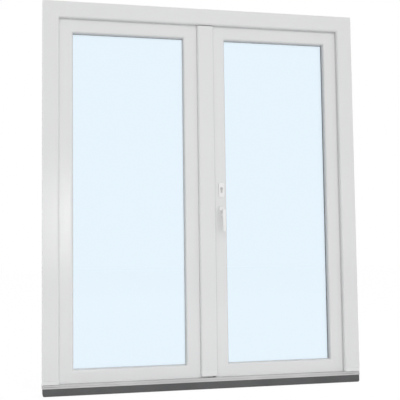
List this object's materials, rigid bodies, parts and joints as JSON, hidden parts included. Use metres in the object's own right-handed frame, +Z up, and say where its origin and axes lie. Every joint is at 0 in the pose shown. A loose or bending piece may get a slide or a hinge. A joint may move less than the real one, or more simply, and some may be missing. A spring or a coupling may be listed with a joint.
{
  "type": "balcony door",
  "caption": "White PVC balcony door: glazed leaves that open inwards on hinges, a cover strip where they meet, a lever handle with key cylinder, and an aluminium threshold on a dark base bar.",
  "frame": {"origin": "middle of the threshold's underside, at mid depth of the outer frame", "axes": "+X to the right seen from outside, +Y into the room, +Z up"},
  "size_m": [1.8, 0.206, 2.14],
  "materials": {
    "pvc_white": "smooth white extruded PVC, soft gloss",
    "threshold_dark": "dark grey extruded plastic, matt",
    "threshold_aluminium": "satin anodised",
    "cap_grey": "light grey moulded plastic",
    "seal_grey": "light grey sealing rubber, matt",
    "clear_glass": "clear float glass with a pale blue cast",
    "spacer_grey": "dark grey spacer bar with its edge seal",
    "hinge_white": "white powder coat",
    "handle_white": "white powder coat, satin",
    "lock_steel": "nickel-plated steel"
  },
  "bodies": {
    "frame": {"threshold_base": "threshold_dark", "threshold_rail": "threshold_aluminium", "threshold_end_caps": "cap_grey", "jamb_feet": "pvc_white", "threshold_seal": "seal_grey", "left_jamb": "pvc_white", "right_jamb": "pvc_white", "head": "pvc_white", "frame_seal": "seal_grey", "left_hinge_frame_halves": "hinge_white", "right_hinge_frame_halves": "hinge_white"},
    "passive_leaf": {"passive_hinge_stile": "pvc_white", "passive_meeting_stile": "pvc_white", "passive_bottom_rail": "pvc_white", "passive_top_rail": "pvc_white", "passive_outer_pane": "clear_glass", "passive_inner_pane": "clear_glass", "passive_glass_spacer": "spacer_grey", "passive_glazing_seals": "seal_grey", "passive_beads": "pvc_white", "passive_wing_seal": "seal_grey", "astragal": "pvc_white", "astragal_end_cap": "pvc_white", "astragal_inner_cover": "pvc_white", "meeting_seal": "seal_grey", "lock_keeps": "lock_steel", "left_hinge_leaf_halves": "hinge_white"},
    "active_leaf": {"active_hinge_stile": "pvc_white", "active_meeting_stile": "pvc_white", "active_bottom_rail": "pvc_white", "active_top_rail": "pvc_white", "active_outer_pane": "clear_glass", "active_inner_pane": "clear_glass", "active_glass_spacer": "spacer_grey", "active_glazing_seals": "seal_grey", "active_beads": "pvc_white", "active_wing_seal": "seal_grey", "right_hinge_leaf_halves": "hinge_white", "handle_rosettes": "handle_white", "cylinder_plates": "handle_white", "lock_cylinder": "lock_steel", "lock_strip": "lock_steel"},
    "handle": {"outer_lever": "handle_white", "inner_lever": "handle_white", "spindle": "lock_steel"}
  },
  "joints": [
    {"name": "passive_leaf_swing", "type": "hinge", "parent": "frame", "child": "passive_leaf", "pos_m": [-0.844, 0.074, 0], "axis": [0, 0, 1], "range_deg": [0, 100]},
    {"name": "active_leaf_swing", "type": "hinge", "parent": "frame", "child": "active_leaf", "pos_m": [0.844, 0.074, 0], "axis": [0, 0, -1], "range_deg": [0, 100]},
    {"name": "handle_turn", "type": "hinge", "parent": "active_leaf", "child": "handle", "pos_m": [0.099, 0, 0.985], "axis": [0, -1, 0], "range_deg": [0, 90]}
  ]
}
